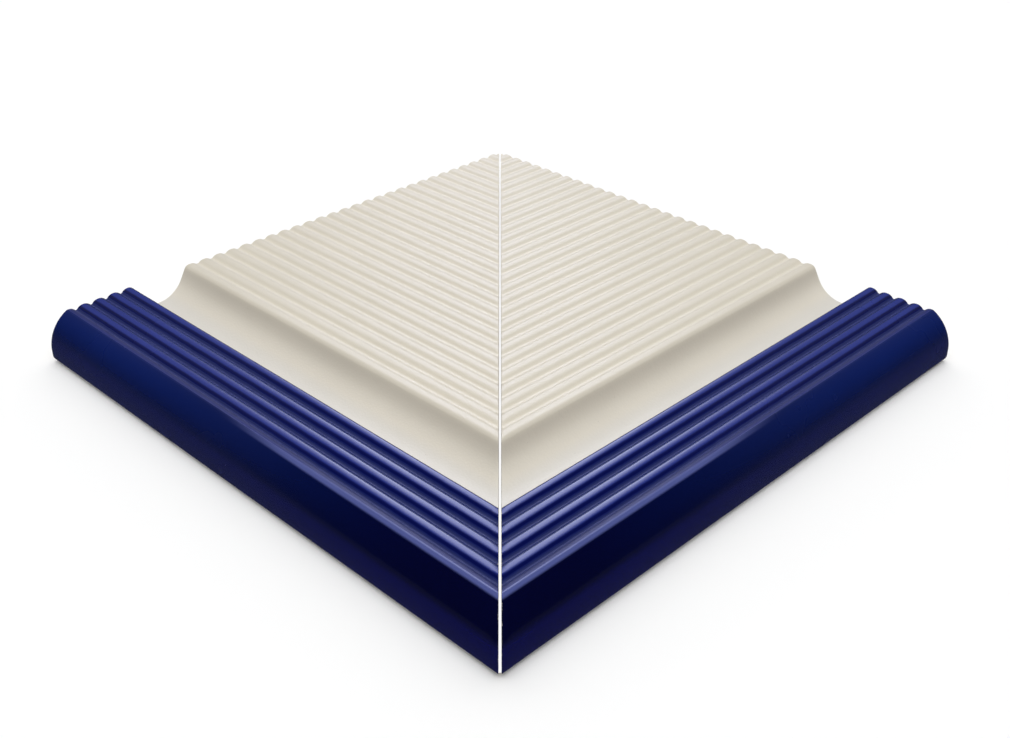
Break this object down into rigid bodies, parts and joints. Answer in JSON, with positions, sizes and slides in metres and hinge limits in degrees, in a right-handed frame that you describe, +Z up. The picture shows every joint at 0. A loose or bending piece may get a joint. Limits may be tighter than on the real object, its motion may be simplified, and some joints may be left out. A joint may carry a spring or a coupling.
{
  "type": "pool edge tile",
  "caption": "Outside corner of a pool edge from mitred ribbed tiles, with a bullnose grip edge, a drainage channel and an anti-slip platform.",
  "frame": {"origin": "middle of the corner's square plan, on the underside", "axes": "+Z up; the left tile's nose faces -Y and runs along X, the right tile's nose faces +X and runs along Y; the tip of the corner is at +X -Y and the mitre runs from there to -X +Y"},
  "size_m": [0.244, 0.244, 0.02],
  "materials": {
    "glazed_stoneware": "fired stoneware: glossy cobalt blue glaze on the nose and grip ribs, satin cream on the channel and platform, bare biscuit underneath and on the cut faces"
  },
  "bodies": {
    "root": {"left_mitred_tile": "glazed_stoneware", "right_mitred_tile": "glazed_stoneware"}
  },
  "joints": []
}
